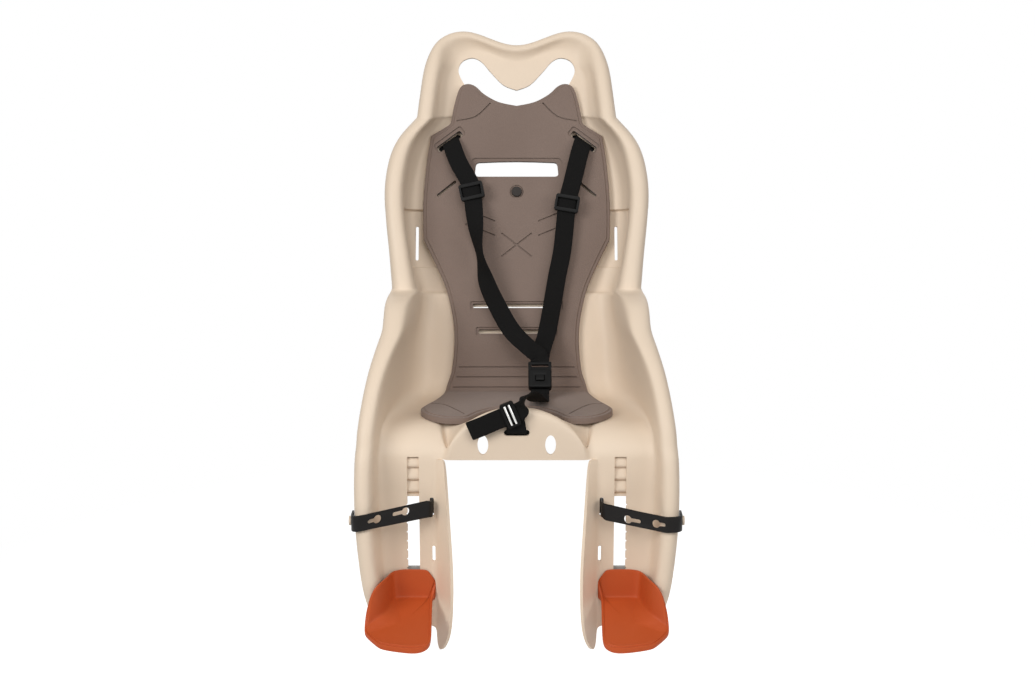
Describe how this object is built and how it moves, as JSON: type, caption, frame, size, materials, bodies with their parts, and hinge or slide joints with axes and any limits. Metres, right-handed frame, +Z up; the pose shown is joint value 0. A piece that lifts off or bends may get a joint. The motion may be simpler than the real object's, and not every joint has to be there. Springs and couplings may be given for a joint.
{
  "type": "child bicycle seat",
  "caption": "Rear child seat for a bicycle: moulded cream shell with high sides, brown foam pad, webbing harness, foot straps and sliding footrests.",
  "frame": {"origin": "middle of the seat pan's flat underside, where the seat is bolted down to its carrier", "axes": "+Z up, the child faces -Y, +X is the child's left"},
  "size_m": [0.418, 0.4513, 0.7821],
  "materials": {
    "shell_plastic": "fine matt moulded",
    "pad_foam": "soft closed-cell foam with a fine grain",
    "dark_plastic": "matt moulded",
    "tray_plastic": "fine matt moulded",
    "grey_plastic": "matt moulded",
    "strap_rubber": "smooth satin rubber",
    "webbing": "woven webbing",
    "black_plastic": "satin moulded",
    "bar_steel": "bright plated"
  },
  "bodies": {
    "seat": {"seat_shell": "shell_plastic", "seat_pad": "pad_foam", "pad_rivet": "dark_plastic", "left_foot_strap": "strap_rubber", "right_foot_strap": "strap_rubber", "left_strap_upper": "webbing", "left_strap_lower": "webbing", "right_strap_upper": "webbing", "right_strap_lower": "webbing", "left_adjuster": "black_plastic", "right_adjuster": "black_plastic", "left_strap_anchor": "black_plastic", "right_strap_anchor": "black_plastic", "buckle_tongue": "black_plastic", "buckle_housing": "black_plastic", "crotch_strap": "webbing", "crotch_strap_tail": "webbing", "crotch_base": "webbing", "crotch_slider": "black_plastic", "crotch_slider_bar_near": "bar_steel", "crotch_slider_bar_far": "bar_steel", "crotch_anchor": "black_plastic"},
    "left_footrest": {"left_footrest": "tray_plastic", "left_footrest_lock": "grey_plastic"},
    "right_footrest": {"right_footrest": "tray_plastic", "right_footrest_lock": "grey_plastic"},
    "button": {"buckle_button": "black_plastic"}
  },
  "joints": [
    {"name": "left_footrest_slide", "type": "slide", "parent": "seat", "child": "left_footrest", "axis": [0, 0, 1], "range_m": [0, 0.06]},
    {"name": "right_footrest_slide", "type": "slide", "parent": "seat", "child": "right_footrest", "axis": [0, 0, 1], "range_m": [0, 0.06]},
    {"name": "button_press", "type": "slide", "parent": "seat", "child": "button", "axis": [0, 0.766, -0.6428], "range_m": [0, 0.0025], "stiffness_N_per_m": 300}
  ]
}
